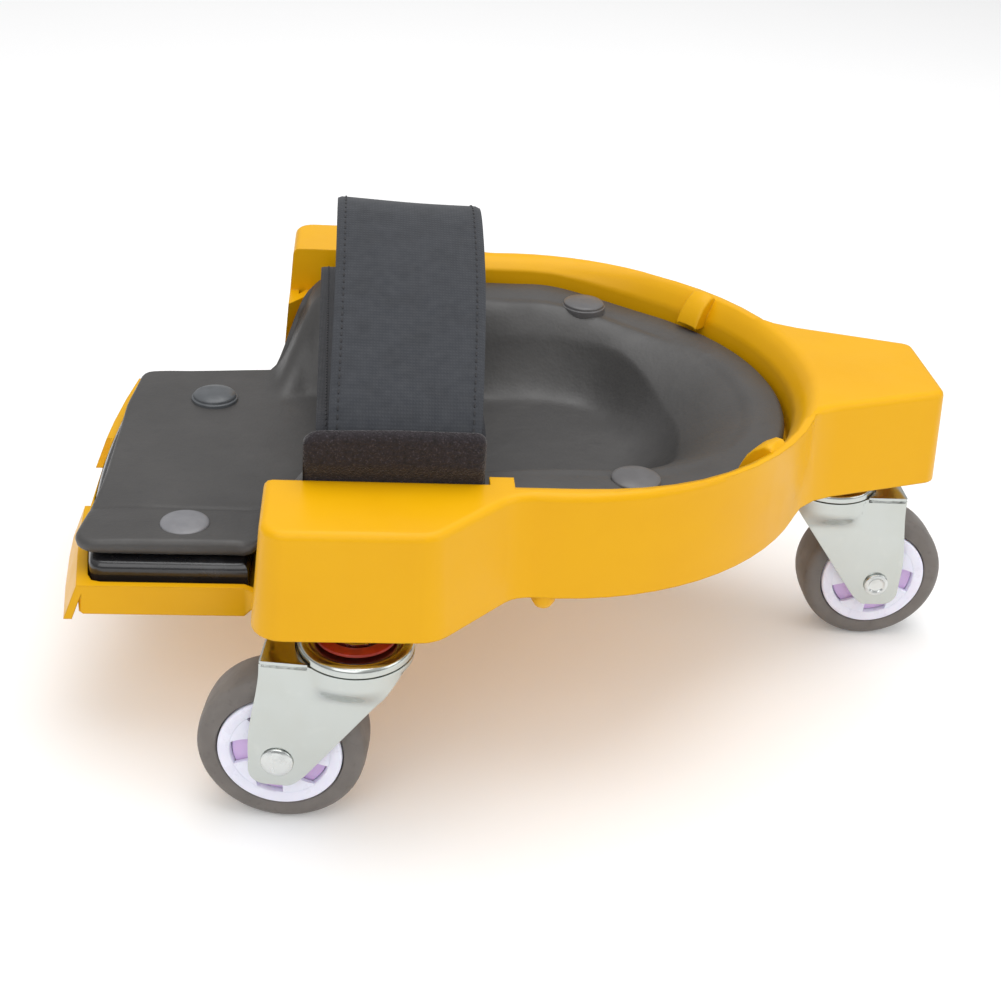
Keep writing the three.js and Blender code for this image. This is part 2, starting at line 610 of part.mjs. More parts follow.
// Balls and cage of the swivel bearing, joined to one ring.
function ballCage() {
  const [trackR, trackZ, ballR] = [11.5, 59.8, 1.6];
  const cage = tube(trackR - 0.8, trackR + 0.8, trackZ - 0.6, trackZ + 0.6, 12);
  const count = 5;
  const balls = Array.from({ length: count }, (_, k) => {
    const ball = new THREE.IcosahedronGeometry(ballR, 0).translate(trackR, 0, trackZ);
    return solid(ball.rotateZ((k * 2 * Math.PI) / count));
  });
  return geometryOf(union(solid(cage), ...balls));
}

// The rivet's broad head is on the right of the caster, its set end with a dimple on the left.
function axleRivet() {
  const face = LEG_OUTER + GAP;
  return onAxle(turned([[0, -face - 0.9], [3, -face - 1.2], [4.3, -face - 0.8], [4.3, -face],
    [RIVET_R, -face], [RIVET_R, face], [5, face], [5, face + 1.1], [4.4, face + 1.6],
    [0, face + 1.8]], 14));
}

function caster({ name, x, y, yaw }) {
  const group = new THREE.Group();
  const pieces = [
    ['stem', stem(), STEEL],
    ['threaded_insert', tube(STEM_R + GAP, INSERT_R, FRAME_BOTTOM + 1.3, STEM_TOP - 1.5, 12), BRASS],
    ['top_race', topRace(), ZINC],
    ['dust_ring', ring([[8.4, 63.1], [12, 63.1], [11.6, 64], [8.4, 64.2]], 20), RED],
    ['ball_cage', ballCage(), STEEL],
    ['fork', fork(), ZINC],
    ['axle_rivet', axleRivet(), STEEL],
    ['axle_sleeve', onAxle(tube(RIVET_R + GAP, 3.9, -10.2, 10.2, 10)), STEEL],
    ['hub', hub(), WHITE],
    ['hub_core', onAxle(tube(CORE.inner, CORE.outer, -CORE_HALF, CORE_HALF, 20)), LAVENDER],
    ['tyre', tyre(), TYRE_GREY],
  ];
  for (const [part, geometry, look] of pieces) group.add(piece(`${name}_${part}`, geometry, look));
  group.position.set(x, y, 0);
  group.rotation.z = degToRad(yaw);
  return group;
}

// ---------------------------------------------------------------- assembly
const creeper = new THREE.Group();
creeper.add(shell(), kneePad(), shinUnderlay());
creeper.add(...BUTTONS.map(padButton), ...straps(), ...swivels.map(caster));

export default creeper;
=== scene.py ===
# Looks of a rolling knee creeper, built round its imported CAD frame.
# Shapes are worked out in millimetres in the row frame: +X towards the nose, +Z up, floor at z = 0.
import json
import math

import bmesh
import bpy
import numpy as np
from mathutils import Matrix, Vector, noise

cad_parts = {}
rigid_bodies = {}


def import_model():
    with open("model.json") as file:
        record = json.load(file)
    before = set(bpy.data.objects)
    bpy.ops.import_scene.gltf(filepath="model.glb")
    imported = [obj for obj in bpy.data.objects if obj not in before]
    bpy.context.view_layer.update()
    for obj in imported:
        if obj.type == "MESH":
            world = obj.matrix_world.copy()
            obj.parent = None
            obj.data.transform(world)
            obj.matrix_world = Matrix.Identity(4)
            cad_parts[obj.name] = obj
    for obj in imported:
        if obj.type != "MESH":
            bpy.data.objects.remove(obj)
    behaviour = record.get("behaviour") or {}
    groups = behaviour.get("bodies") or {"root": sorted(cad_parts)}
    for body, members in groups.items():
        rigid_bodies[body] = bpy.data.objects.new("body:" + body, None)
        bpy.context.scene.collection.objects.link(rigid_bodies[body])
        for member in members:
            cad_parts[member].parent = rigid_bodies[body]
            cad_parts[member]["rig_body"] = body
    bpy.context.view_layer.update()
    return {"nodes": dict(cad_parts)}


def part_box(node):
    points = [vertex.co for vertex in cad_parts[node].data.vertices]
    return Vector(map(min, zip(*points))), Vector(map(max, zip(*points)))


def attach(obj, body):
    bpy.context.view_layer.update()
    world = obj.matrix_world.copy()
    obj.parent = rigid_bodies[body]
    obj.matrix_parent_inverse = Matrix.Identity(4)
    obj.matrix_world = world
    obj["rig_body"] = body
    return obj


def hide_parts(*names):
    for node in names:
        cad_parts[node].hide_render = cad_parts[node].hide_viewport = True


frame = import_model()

MM = 0.001

# ------------------------------------------------------------------ driving dimensions, in millimetres
TONGUE_REAR = -151.5                # rear end of the shell's tray
CUP_X = 3.5                         # middle of the knee cup
PAD_A, PAD_B = 80.0, 82.8           # half length and half width of the pad's round front
PAD_TONGUE_HALF = 65.5
PAD_REAR = TONGUE_REAR + 10.9
NECK_REAR, NECK_FRONT = -92.0, -76.0  # where the tongue widens into the cup
PAD_FLOOR = 66.0                    # top of the tongue and of the cup's floor
PAD_FLANGE = 96.2                   # top of the flange round the cup
FRONT_DROP = 4.7                    # how far the flange sinks towards the nose
SEAT_Z = 91.0                       # ledge that carries the flange
UNDERLAY_TOP, UNDERLAY_BOTTOM = 60.5, 50.4
REAR_BOW = 5.5
STRAP_FOOT = 79.0                   # hidden lower end of the straps in their slots
STRAP_COLUMNS = 36                  # points across each face of a strap
STITCH_PITCH, STITCH_LENGTH, STITCH_R = 2.6, 1.7, 0.3
TAB_X, TAB_HALF, TAB_TOP = -48.6, 25.5, 120.4
WHEEL_R = 25.0
TRAIL = 20.5                        # from the swivel's axis back to the axle
LEG_OUTER = 12.6                    # outer faces of the fork's legs
SHEET = 2.0                         # thickness of the fork's steel
SHOULDER_R = 16.9
FORK_TOP = 60.0
SEAM_Z = 59.3                       # seam between the top race and the fork
LAMP_TARGET = (0, 0, 0.05)          # metres
CAMERA_PLACE = (-0.058862, -0.470170, 0.316484)  # metres
# place of each swivel's axis, and the angle at which the caster stands in degrees
CASTERS = {
    "right_rear": (-58.0, -104.0, -7.2),
    "left_rear": (-58.0, 104.0, 6.0),
    "front": (106.0, 0.0, 179.2),
}


# ------------------------------------------------------------------ curves and grids
def lerp(a, b, t):
    """a at t = 0 and b at t = 1."""
    return a + (b - a) * t


def smoothstep(x, low, high):
    """0 below low, 1 above high, with an S-curve between them."""
    t = np.clip((x - low) / (high - low), 0, 1)
    return t * t * (3 - 2 * t)


def fillet(corners, closed=False, step=18):
    """Replaces each corner (a, b, radius) by an arc with a point about every step degrees."""
    out = []
    count = len(corners)
    for i, (a, b, radius) in enumerate(corners):
        here = np.array((a, b), float)
        if radius <= 0 or (not closed and i in (0, count - 1)):
            out.append(here)
            continue
        before = np.array(corners[i - 1][:2], float) - here
        after = np.array(corners[(i + 1) % count][:2], float) - here
        u, w = before / np.linalg.norm(before), after / np.linalg.norm(after)
        half = math.acos(np.clip(u @ w, -1, 1)) / 2
        cut = min(radius / math.tan(half), 0.48 * np.linalg.norm(before), 0.48 * np.linalg.norm(after))
        radius = cut * math.tan(half)
        centre = here + (u + w) / np.linalg.norm(u + w) * radius / math.sin(half)
        start, end = here + u * cut - centre, here + w * cut - centre
        turn = math.atan2(start[0] * end[1] - start[1] * end[0], start @ end)
        steps = max(1, math.ceil(abs(turn) / math.radians(step)))
        for k in range(steps + 1):
            angle = turn * k / steps
            c, s = math.cos(angle), math.sin(angle)
            out.append(centre + (start[0] * c - start[1] * s, start[0] * s + start[1] * c))
    return np.array(out)


def resample(points, count, closed=False):
    """The same line with evenly spaced points."""
    points = np.asarray(points, float)
    if closed:
        points = np.vstack([points, points[:1]])
    lengths = np.r_[0, np.cumsum(np.linalg.norm(np.diff(points, axis=0), axis=1))]
    at = np.linspace(0, lengths[-1], count, endpoint=not closed)
    return np.column_stack([np.interp(at, lengths, points[:, k]) for k in range(points.shape[1])])


def spline(points, per_span=16):
    """A Catmull-Rom curve through the points."""
    p = np.asarray(points, float)
    p = np.vstack([2 * p[0] - p[1], p, 2 * p[-1] - p[-2]])
    t = np.linspace(0, 1, per_span, endpoint=False)[:, None]
    spans = []
    for a, b, c, d in zip(p, p[1:], p[2:], p[3:]):
        spans.append(0.5 * (2 * b + (c - a) * t + (2 * a - 5 * b + 4 * c - d) * t**2
                            + (3 * b - a - 3 * c + d) * t**3))
    return np.vstack([*spans, p[-2]])


def grid_faces(rows, columns, wrap_rows=False, wrap_columns=False):
    """Quads over a grid of points, row by row."""
    i = np.arange(rows if wrap_rows else rows - 1)
    j = np.arange(columns if wrap_columns else columns - 1)
    i, j = (a.ravel() for a in np.meshgrid(i, j, indexing="ij"))
    i2, j2 = (i + 1) % rows, (j + 1) % columns
    return np.column_stack([i * columns + j, i2 * columns + j, i2 * columns + j2, i * columns + j2])


def lathe(profile, segments=72, closed=False):
    """A turned shape about Z; the profile's rows are (radius, height)."""
    p = np.asarray(profile, float)
    angles = np.linspace(0, 2 * np.pi, segments, endpoint=False)[:, None]
    verts = np.stack([np.cos(angles) * p[:, 0], np.sin(angles) * p[:, 0],
                      np.ones_like(angles) * p[:, 1]], axis=-1)
    return verts.reshape(-1, 3), grid_faces(segments, len(p), True, closed)


def slab(upper, lower):
    """A closed solid between two grids of points of the same size."""
    rows, columns = upper.shape[:2]
    verts = np.vstack([upper.reshape(-1, 3), lower.reshape(-1, 3)])
    under = rows * columns
    faces = [grid_faces(rows, columns), grid_faces(rows, columns)[:, ::-1] + under]
    index = np.arange(under).reshape(rows, columns)
    edge = np.r_[index[:-1, 0], index[-1, :-1], index[:0:-1, -1], index[0, :0:-1]]
    nxt = np.roll(edge, -1)
    faces.append(np.column_stack([edge, edge + under, nxt + under, nxt]))
    return verts, np.vstack(faces)


def joined(*shapes):
    """Several shapes as one, each still a closed shell of its own."""
    verts, faces, base = [], [], 0
    for v, f in shapes:
        verts.append(v)
        faces.extend([int(index) + base for index in face] for face in f)
        base += len(v)
    return np.vstack(verts), faces


def turned_about(shape, degrees, axis="Z"):
    """The shape turned about an axis through the origin."""
    verts, faces = shape
    turn = np.array(Matrix.Rotation(math.radians(degrees), 3, axis))
    return verts @ turn.T, faces


def shifted(shape, offset):
    """The shape moved by an offset."""
    return shape[0] + np.array(offset, float), shape[1]


# ------------------------------------------------------------------ pieces
def piece(name, shape, look, body="frame", slot=None, sharp=38, bevel=0.0, replaces=()):
    """A named mesh from points in millimetres, with outward faces, riding on a CAD body."""
    verts, faces = shape
    mesh = bpy.data.meshes.new(name)
    mesh.from_pydata((np.asarray(verts) * MM).tolist(), [], [list(map(int, f)) for f in faces])
    welded = bmesh.new()
    welded.from_mesh(mesh)
    bmesh.ops.remove_doubles(welded, verts=welded.verts, dist=2e-6)
    bmesh.ops.recalc_face_normals(welded, faces=welded.faces)
    welded.to_mesh(mesh)
    welded.free()
    obj = bpy.data.objects.new(name, mesh)
    bpy.context.scene.collection.objects.link(obj)
    mesh.materials.append(look)
    mesh.polygons.foreach_set("use_smooth", [True] * len(mesh.polygons))
    if bevel:
        edges = obj.modifiers.new("edges", "BEVEL")
        edges.width, edges.segments = bevel * MM, 2
        edges.limit_method, edges.angle_limit = "ANGLE", math.radians(sharp)
    else:
        mesh.set_sharp_from_angle(angle=math.radians(sharp))
    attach(obj, body)
    if replaces:
        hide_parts(*replaces)
    return obj


def refined(node, look, slot, sharp=50):
    """A CAD node drawn again with welded corners and smooth, area-weighted shading."""
    source = frame["nodes"][node]
    verts = np.zeros(len(source.data.vertices) * 3)
    source.data.vertices.foreach_get("co", verts)
    faces = [list(p.vertices) for p in source.data.polygons]
    obj = piece("fine_" + node, (verts.reshape(-1, 3) / MM, faces), look, source["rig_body"], slot,
                sharp, replaces=[node])
    flatter = bmesh.new()
    flatter.from_mesh(obj.data)
    bmesh.ops.dissolve_limit(flatter, angle_limit=math.radians(0.6), verts=flatter.verts, edges=flatter.edges)
    flatter.to_mesh(obj.data)
    flatter.free()
    obj.data.polygons.foreach_set("use_smooth", [True] * len(obj.data.polygons))
    obj.data.set_sharp_from_angle(angle=math.radians(sharp))
    weighted = obj.modifiers.new("weighted", "WEIGHTED_NORMAL")
    weighted.keep_sharp = True
    weighted.weight = 90
    return obj


# ------------------------------------------------------------------ materials
class Paint:
    """A procedural material: one Principled shader with layers of variation and bump."""

    def __init__(self, name, color, roughness, metallic=0.0, **sockets):
        self.material = bpy.data.materials.new(name)
        self.material.use_nodes = True
        self.tree = self.material.node_tree
        self.shader = self.tree.nodes["Principled BSDF"]
        self.color = (*color, 1)
        self.set(self.shader, {"Base Color": self.color, "Roughness": roughness, "Metallic": metallic})
        self.set(self.shader, {key.replace("_", " "): value for key, value in sockets.items()})
        self.normal = None
        self.place = self.node("ShaderNodeTexCoord").outputs["Object"]

    def set(self, node, values):
        """Links each value that is a socket, and sets each other one as a constant."""
        for key, value in values.items():
            if isinstance(value, bpy.types.NodeSocket):
                self.tree.links.new(value, node.inputs[key])
            else:
                node.inputs[key].default_value = value

    def node(self, kind, inputs=None, **settings):
        """A new node with its inputs and settings."""
        made = self.tree.nodes.new(kind)
        for key, value in settings.items():
            setattr(made, key, value)
        self.set(made, inputs or {})
        return made

    def use_uv(self):
        """Lays the later textures along the UVs."""
        self.place = self.node("ShaderNodeUVMap").outputs["UV"]

    def scaled(self, size_mm, stretch=(1, 1, 1)):
        """Object coordinates on which one unit is size_mm."""
        scale = [s * 1000 / size_mm for s in stretch]
        return self.node("ShaderNodeMapping", {"Vector": self.place, "Scale": scale}).outputs["Vector"]

    def noise(self, size_mm, detail=3.0, stretch=(1, 1, 1)):
        made = self.node("ShaderNodeTexNoise", {"Vector": self.scaled(size_mm, stretch), "Scale": 1.0,
                                                "Detail": detail})
        return made.outputs["Fac"]

    def cells(self, size_mm):
        made = self.node("ShaderNodeTexVoronoi", {"Vector": self.scaled(size_mm), "Scale": 1.0})
        return made.outputs["Distance"]

    def wave(self, size_mm, direction="X", distortion=0.0):
        made = self.node("ShaderNodeTexWave", {"Vector": self.scaled(size_mm * 20 / math.pi), "Scale": 1.0,
                                               "Distortion": distortion}, bands_direction=direction)
        return made.outputs["Fac"]

    def span(self, value, low, high, to_low=0.0, to_high=1.0):
        """The range low..high of a value mapped to another range."""
        made = self.node("ShaderNodeMapRange", {"Value": value, "From Min": low, "From Max": high,
                                                "To Min": to_low, "To Max": to_high})
        return made.outputs["Result"]

    def maths(self, operation, a, b):
        made = self.node("ShaderNodeMath", operation=operation)
        self.set(made, {0: a, 1: b})
        return made.outputs["Value"]

    def vary(self, other, factor):
        """Mixes the colour towards another one by a factor from a texture."""
        made = self.node("ShaderNodeMix", data_type="RGBA")
        self.set(made, {0: factor, 6: self.color, 7: (*other, 1)})
        self.color = made.outputs[2]
        self.set(self.shader, {"Base Color": self.color})
        return self

    def gloss(self, factor, low, high):
        """Varies the roughness between low and high."""
        self.set(self.shader, {"Roughness": self.span(factor, 0.3, 0.7, low, high)})
        return self

    def soft_edges(self, radius_mm):
        """Rounds the shading of sharp edges."""
        self.normal = self.node("ShaderNodeBevel", {"Radius": radius_mm * MM}, samples=4).outputs["Normal"]
        self.set(self.shader, {"Normal": self.normal})
        return self

    def bump(self, height, depth_mm):
        """Adds relief of a given depth on top of what is already there."""
        values = {"Height": height, "Distance": depth_mm * MM, "Strength": 1.0}
        if self.normal is not None:
            values["Normal"] = self.normal
        self.normal = self.node("ShaderNodeBump", values).outputs["Normal"]
        self.set(self.shader, {"Normal": self.normal})
        return self


def shell_yellow():
    paint = Paint("shell_yellow", (0.80, 0.412, 0.002), 0.38, Specular_IOR_Level=0.22)
    paint.soft_edges(0.7)
    paint.vary((0.74, 0.355, 0.002), paint.span(paint.noise(38), 0.42, 0.75, 0, 0.5))
    paint.vary((0.88, 0.49, 0.02), paint.span(paint.noise(1.1, 4), 0.62, 0.8, 0, 0.10))
    paint.gloss(paint.noise(14, 4), 0.28, 0.40)
    paint.bump(paint.noise(0.9, 2), 0.018)
    return paint.bump(paint.noise(46, 1), 0.25).material


def pad_grey():
    paint = Paint("pad_grey", (0.050, 0.048, 0.047), 0.44, Specular_IOR_Level=0.6)
    paint.vary((0.064, 0.061, 0.059), paint.span(paint.noise(26), 0.4, 0.7, 0, 0.7))
    paint.vary((0.036, 0.036, 0.037), paint.span(paint.noise(3.5, 5), 0.55, 0.8, 0, 0.4))
    paint.gloss(paint.noise(11, 4), 0.40, 0.54)
    paint.bump(paint.cells(1.3), 0.035)
    return paint.bump(paint.noise(7, 3), 0.22).material


def underlay_black():
    paint = Paint("underlay_black", (0.014, 0.014, 0.016), 0.2, Coat_Weight=0.4, Coat_Roughness=0.12)
    paint.vary((0.03, 0.03, 0.034), paint.span(paint.noise(9), 0.5, 0.75))
    paint.gloss(paint.noise(6, 4), 0.14, 0.30)
    return paint.bump(paint.noise(4.5, 3), 0.15).material


def button_plastic(name, color, light):
    paint = Paint(name, color, 0.34)
    paint.vary(light, paint.span(paint.noise(4), 0.4, 0.7, 0, 0.6))
    paint.gloss(paint.noise(3, 4), 0.28, 0.42)
    return paint.bump(paint.noise(0.7, 2), 0.012).material


def webbing(name, color, light, rib_mm):
    paint = Paint(name, color, 0.86, Sheen_Weight=0.12, Sheen_Roughness=0.5)
    paint.use_uv()
    across = paint.wave(rib_mm, "Y", 1.2)
    along = paint.wave(rib_mm * 0.8, "X", 1.2)
    weave = paint.maths("MULTIPLY", across, along)
    paint.vary(light, paint.span(weave, 0.15, 0.8, 0, 0.35))
    paint.vary(tuple(0.6 * c for c in color), paint.span(paint.noise(9), 0.45, 0.75, 0, 0.5))
    paint.gloss(paint.noise(3), 0.78, 0.92)
    paint.bump(weave, 0.07)
    return paint.bump(paint.noise(0.5, 2), 0.05).material


def fuzz():
    paint = Paint("fuzz", (0.020, 0.015, 0.018), 0.95, Sheen_Weight=0.22, Sheen_Roughness=0.4)
    paint.vary((0.10, 0.085, 0.10), paint.span(paint.noise(0.55, 4), 0.56, 0.78, 0, 0.75))
    paint.vary((0.005, 0.004, 0.005), paint.span(paint.noise(1.6, 3), 0.5, 0.7, 0, 0.7))
    return paint.bump(paint.noise(0.6, 4), 0.5).material


def thread():
    paint = Paint("thread", (0.012, 0.012, 0.015), 0.75, Sheen_Weight=0.1)
    paint.vary((0.03, 0.03, 0.036), paint.span(paint.noise(0.6), 0.4, 0.7))
    return paint.bump(paint.noise(0.25, 2), 0.05).material


def zinc():
    paint = Paint("zinc", (0.53, 0.56, 0.54), 0.2, 1.0)
    paint.vary((0.49, 0.51, 0.47), paint.span(paint.noise(16, 3), 0.42, 0.75, 0, 0.5))
    paint.vary((0.66, 0.68, 0.66), paint.span(paint.noise(3, 5), 0.6, 0.8, 0, 0.3))
    paint.gloss(paint.noise(4, 5, (1, 1, 0.3)), 0.15, 0.24)
    return paint.bump(paint.noise(1.2, 4, (1, 1, 0.12)), 0.008).material


def steel():
    paint = Paint("steel", (0.64, 0.66, 0.65), 0.24, 1.0)
    paint.vary((0.46, 0.48, 0.47), paint.span(paint.noise(5, 4), 0.5, 0.8))
    paint.gloss(paint.noise(2.5, 4), 0.16, 0.32)
    return paint.bump(paint.noise(0.8, 3), 0.015).material


def brass():
    paint = Paint("brass", (0.58, 0.42, 0.16), 0.3, 1.0)
    paint.vary((0.36, 0.25, 0.09), paint.span(paint.noise(5, 4), 0.45, 0.75))
    return paint.bump(paint.wave(1.0, "Z"), 0.15).material


def ring_red():
    paint = Paint("ring_red", (0.44, 0.035, 0.016), 0.4)
    paint.vary((0.28, 0.02, 0.012), paint.span(paint.noise(3), 0.4, 0.7))
    return paint.bump(paint.noise(1.0, 3), 0.03).material


def hub_white():
    paint = Paint("hub_white", (0.86, 0.855, 0.97), 0.3, Subsurface_Weight=0.06, Subsurface_Scale=0.002)
    paint.vary((0.76, 0.75, 0.89), paint.span(paint.noise(9), 0.4, 0.7, 0, 0.6))
    paint.gloss(paint.noise(4, 4), 0.24, 0.38)
    return paint.bump(paint.noise(0.9, 2), 0.012).material


def core_lavender():
    paint = Paint("core_lavender", (0.66, 0.47, 0.78), 0.35, Subsurface_Weight=0.08, Subsurface_Scale=0.002)
    paint.vary((0.72, 0.52, 0.84), paint.span(paint.noise(6), 0.4, 0.7, 0, 0.7))
    return paint.bump(paint.noise(1.0, 2), 0.015).material


def tyre_grey():
    paint = Paint("tyre_grey", (0.158, 0.142, 0.13), 0.55, Specular_IOR_Level=0.35)
    paint.vary((0.20, 0.18, 0.165), paint.span(paint.noise(8, 4), 0.4, 0.7, 0, 0.6))
    paint.vary((0.10, 0.09, 0.083), paint.span(paint.noise(2.2, 5), 0.58, 0.8, 0, 0.5))
    paint.gloss(paint.noise(5, 4), 0.46, 0.64)
    return paint.bump(paint.noise(0.6, 3), 0.03).material


def floor_pale():
    paint = Paint("floor_pale", (0.90, 0.90, 0.90), 0.85, Emission_Color=(1, 1, 1, 1), Emission_Strength=0.12)
    paint.vary((0.88, 0.88, 0.885), paint.noise(300))
    return paint.material


YELLOW, PAD, UNDERLAY = shell_yellow(), pad_grey(), underlay_black()
BUTTON = button_plastic("button_grey", (0.20, 0.20, 0.215), (0.25, 0.25, 0.265))
BUTTON_MID = button_plastic("button_mid", (0.105, 0.102, 0.105), (0.13, 0.128, 0.132))
BUTTON_DARK = button_plastic("button_dark", (0.085, 0.092, 0.10), (0.12, 0.128, 0.138))
BAND = webbing("band_webbing", (0.029, 0.032, 0.039), (0.043, 0.048, 0.058), 0.55)
INNER = webbing("inner_webbing", (0.020, 0.021, 0.026), (0.034, 0.036, 0.044), 0.6)
FUZZ, THREAD, ZINC, STEEL, BRASS = fuzz(), thread(), zinc(), steel(), brass()
RED, WHITE, LAVENDER, TYRE = ring_red(), hub_white(), core_lavender(), tyre_grey()


# ------------------------------------------------------------------ knee pad and underlay
def pad_half(x):
    """Half of the pad's width at X."""
    front = PAD_B * np.sqrt(np.clip(1 - ((x - CUP_X) / PAD_A) ** 2, 0, 1))
    rear = lerp(PAD_TONGUE_HALF, PAD_B, smoothstep(x, NECK_REAR, NECK_FRONT))
    return np.where(x > CUP_X, front, rear)


def pad_radius(x, y):
    """0 along the middle line, 1 at the edge of the pad."""
    front = np.hypot((x - CUP_X) / PAD_A, y / PAD_B)
    return np.where(x > CUP_X, front, np.abs(y) / np.maximum(pad_half(x), 1))


def pad_outline(count):
    """Anticlockwise from the middle of the tongue's rear edge, which stands a little askew."""
    half = PAD_TONGUE_HALF
    near = fillet([(PAD_REAR, 0, 0), (PAD_REAR - 0.2, -20, 40), (PAD_REAR - 3, -half, 7),
                   (NECK_REAR, -half, 0)])
    far = fillet([(NECK_REAR, half, 0), (-110, half - 2, 60), (PAD_REAR + 2.4, half - 3.6, 5),
                  (PAD_REAR, 36, 20), (PAD_REAR, 0, 0)])
    x = np.linspace(NECK_REAR, CUP_X, 50)[1:]
    neck = np.column_stack([x, -pad_half(x)])
    angle = np.radians(np.linspace(-90, 0, 60))[1:]
    nose = np.column_stack([CUP_X + PAD_A * np.cos(angle), PAD_B * np.sin(angle)])
    right = np.vstack([neck, nose])
    left = right[-2::-1] * (1, -1)
    return resample(np.vstack([near, right, left, far[:-1]]), count, closed=True)


def underlay_outline(count):
    """Anticlockwise from the middle of the underlay's bowed rear edge."""
    rear, half, corner_r = TONGUE_REAR + 7.7, PAD_TONGUE_HALF + 2, 8
    bow = [(rear + REAR_BOW * (y / half) ** 2, -y) for y in np.linspace(0, half - corner_r, 12)]
    corner = fillet([(*bow[-1], 0), (rear + REAR_BOW, -half, corner_r), (rear + 26, -half, 0)])
    right = np.vstack([bow, corner[1:], [(NECK_REAR + 1, -half)]])
    return resample(np.vstack([right, right[::-1] * (1, -1)]), count, closed=True)


def inwards(outline):
    """Unit normals that point into an anticlockwise outline."""
    along = np.roll(outline, -1, 0) - np.roll(outline, 1, 0)
    normal = np.column_stack([-along[:, 1], along[:, 0]])
    return normal / np.linalg.norm(normal, axis=1)[:, None]


def soft_slab(outline, spine, top, bottom, edge_r, rings):
    """A closed soft slab inside an outline, with a rolled edge above and below.
    spine is the range of X that the rings shrink to along the middle line."""
    normal = inwards(outline)
    core = np.column_stack([np.clip(outline[:, 0], *spine), np.zeros(len(outline))])
    rows = []

    def add(plan, z):
        rows.append(np.column_stack([plan, np.broadcast_to(z, len(plan))]))

    inner = outline + normal * edge_r
    for r in rings:
        plan = core + (inner - core) * r
        add(plan, top(plan[:, 0], plan[:, 1]))
    edge_top = rows[-1][:, 2]
    edge_bottom = bottom(inner[:, 0], inner[:, 1])
    roll = np.minimum(edge_r, (edge_top - edge_bottom) / 2)
    for angle in np.radians([15, 35, 55, 75, 90]):
        plan = inner - normal * edge_r * math.sin(angle)
        add(plan, edge_top - roll * (1 - math.cos(angle)))
    for angle in np.radians([90, 60, 30]):
        plan = inner - normal * edge_r * math.sin(angle)
        add(plan, edge_bottom + roll * (1 - math.cos(angle)))
    for r in [1, 0.9, 0.75, 0.5, 0]:
        plan = core + (inner - core) * r
        add(plan, bottom(plan[:, 0], plan[:, 1]))
    return np.vstack(rows), grid_faces(len(rows), len(outline), wrap_columns=True)


def front_drop(x):
    """How far the pad's flange has sunk at X."""
    return FRONT_DROP * smoothstep(x, 5, 50)


def sideways(x, y):
    """0 straight ahead of the cup's middle, 1 at its sides."""
    angle = np.degrees(np.arctan2(np.abs(y) / PAD_B, np.maximum(x - CUP_X, 0) / PAD_A))
    return smoothstep(angle, 14, 62)


def tongue_lift(x, y):
    """The tongue's right edge stands a little off the underlay."""
    return 3.0 * smoothstep(-y, 30, 66) * (1 - smoothstep(x, -94, -80))


def knee_hollow(x, y, flange):
    """The D-shaped hollow for the kneecap: a floor, a short wall up to a crease, and a slope."""
    r, side = pad_radius(x, y), sideways(x, y)
    crease, end = lerp(0.58, 0.67, side), lerp(0.88, 0.78, side)
    depth, ridge = lerp(0.24, 0.20, side), lerp(79, 87, side)
    floor_top = PAD_FLOOR + 2 * smoothstep(r, 0, crease)
    wall = np.clip((r - crease + depth) / depth, 0, 1) ** 2
    slope = 1 - (1 - np.clip((r - crease) / (end - crease), 0, 1)) ** 1.5
    return lerp(lerp(floor_top, ridge, wall), flange, slope)


def pad_top(x, y):
    """Height of the pad's upper face: a flat tongue, then the cup with its crowned flange."""
    r = pad_radius(x, y)
    cup = smoothstep(x, -92, -72)
    flange = PAD_FLANGE - front_drop(x)
    plain = lerp(PAD_FLOOR, flange, smoothstep(r, 0.50, 0.82))
    height = lerp(plain, knee_hollow(x, y, flange), smoothstep(x, -30, 5))
    crown = 1.0 * np.sin(np.pi * np.clip((r - 0.82) / 0.2, 0, 1))
    tongue = PAD_FLOOR - 0.6 * (1 - smoothstep(x, PAD_REAR, PAD_REAR + 14))
    line = -0.5 * np.exp(-((y + 40 + 0.02 * (x + 150)) / 1.2) ** 2)
    return lerp(tongue + line, height + crown, cup) + tongue_lift(x, y)


def pad_bottom(x, y):
    """Height of the pad's lower face, on the underlay and on the shell's ledge."""
    r = pad_radius(x, y)
    cup = smoothstep(x, -92, -76)
    rim = lerp(53, SEAT_Z - front_drop(x), smoothstep(r, 0.6, 0.86))
    return lerp(UNDERLAY_TOP + 0.3 + tongue_lift(x, y), rim, cup)


def knee_pad():
    """One soft moulding, with slight unevenness all over."""
    rings = np.r_[0, np.linspace(0.06, 0.5, 14), np.linspace(0.515, 0.9, 44), np.linspace(0.915, 1, 8)]
    shape = soft_slab(pad_outline(320), (PAD_REAR + 48, CUP_X), pad_top, pad_bottom, 2.0, rings)
    verts = shape[0]
    for v in verts:
        v[2] += 0.35 * noise.noise(Vector(v / 22.0))
    pad = piece("soft_knee_pad", (verts, shape[1]), PAD, slot="pad_foam", sharp=75, replaces=["knee_pad"])


def underlay_top(x, y):
    """Height of the underlay's upper face, which follows the lifted edge of the tongue."""
    return UNDERLAY_TOP + 0.75 * tongue_lift(x, y) - 0.5 * smoothstep(np.abs(y), 55, 68)


def underlay_bottom(x, y):
    """The underlay lies flat on the tray."""
    return np.full(len(x), UNDERLAY_BOTTOM)


def shin_underlay():
    """The glossy second layer under the tongue."""
    rings = np.r_[0, np.linspace(0.1, 1, 14)]
    shape = soft_slab(underlay_outline(220), (-125, -110), underlay_top, underlay_bottom, 2.6, rings)
    layer = piece("soft_shin_underlay", shape, UNDERLAY, slot="underlay_foam", sharp=75,
                  replaces=["shin_underlay"])


